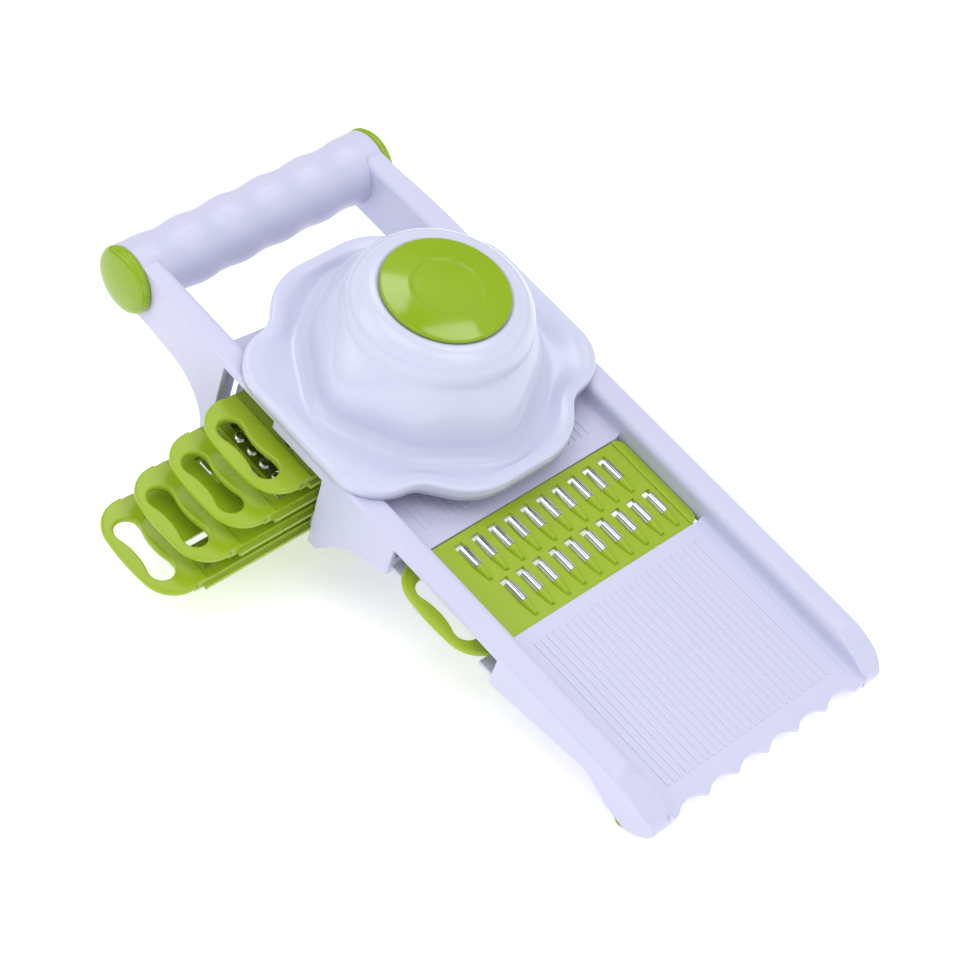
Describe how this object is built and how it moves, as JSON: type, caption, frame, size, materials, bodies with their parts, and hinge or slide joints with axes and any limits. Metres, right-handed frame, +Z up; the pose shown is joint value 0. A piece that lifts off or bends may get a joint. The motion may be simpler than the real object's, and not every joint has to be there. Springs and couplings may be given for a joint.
{
  "type": "mandoline slicer",
  "caption": "Tilted kitchen slicer with a ribbed deck, a shredder insert in its window, more inserts stored under the deck, a wavy grip and a sliding domed hand guard.",
  "frame": {"origin": "on the table, under the middle of the overall box at rest", "axes": "+X from the handle to the scalloped front, +Y across to the side away from the finger loops, +Z up"},
  "size_m": [0.2874, 0.184, 0.1161],
  "materials": {
    "white_plastic": "satin moulded, cool white",
    "green_plastic": "satin moulded, lime green",
    "green_rubber": "soft, lime green",
    "polished_steel": "bright polished stainless steel",
    "fastener_steel": "plain stainless steel"
  },
  "bodies": {
    "base": {"body_frame": "white_plastic", "handle_grip": "white_plastic", "handle_cap_near": "green_plastic", "handle_cap_far": "green_plastic", "handle_screws": "fastener_steel", "front_foot_near": "green_rubber", "front_foot_far": "green_rubber", "rear_foot_near": "green_rubber", "rear_foot_far": "green_rubber", "rack_front_guide": "white_plastic", "rack_rear_guide": "white_plastic", "rack_screws": "fastener_steel"},
    "coarse_shredder": {"coarse_shredder_frame": "green_plastic", "coarse_shredder_scoops": "polished_steel"},
    "thick_slicer": {"thick_slicer_frame": "green_plastic", "thick_slicer_blade": "polished_steel", "thick_slicer_rivets": "fastener_steel"},
    "grater": {"grater_frame": "green_plastic", "grater_plate": "polished_steel"},
    "fine_shredder": {"fine_shredder_frame": "green_plastic", "fine_shredder_scoops": "polished_steel"},
    "thin_slicer": {"thin_slicer_frame": "green_plastic", "thin_slicer_blade": "polished_steel", "thin_slicer_rivets": "fastener_steel"},
    "hand_guard": {"holder_shell": "white_plastic", "holder_cap": "green_plastic", "holder_prong_disc": "white_plastic", "holder_prongs": "polished_steel", "holder_screw": "fastener_steel"}
  },
  "joints": [
    {"name": "coarse_shredder_slide", "type": "slide", "parent": "base", "child": "coarse_shredder", "axis": [0, -1, 0], "range_m": [0, 0.112]},
    {"name": "thick_slicer_slide", "type": "slide", "parent": "base", "child": "thick_slicer", "axis": [0, -1, 0], "range_m": [0, 0.1]},
    {"name": "grater_slide", "type": "slide", "parent": "base", "child": "grater", "axis": [0, -1, 0], "range_m": [-0.014, 0.086]},
    {"name": "fine_shredder_slide", "type": "slide", "parent": "base", "child": "fine_shredder", "axis": [0, -1, 0], "range_m": [-0.028, 0.072]},
    {"name": "thin_slicer_slide", "type": "slide", "parent": "base", "child": "thin_slicer", "axis": [0, -1, 0], "range_m": [-0.0414, 0.0586]},
    {"name": "hand_guard_slide", "type": "slide", "parent": "base", "child": "hand_guard", "axis": [0.9613, 0, -0.2756], "range_m": [-0.022, 0.105]}
  ]
}
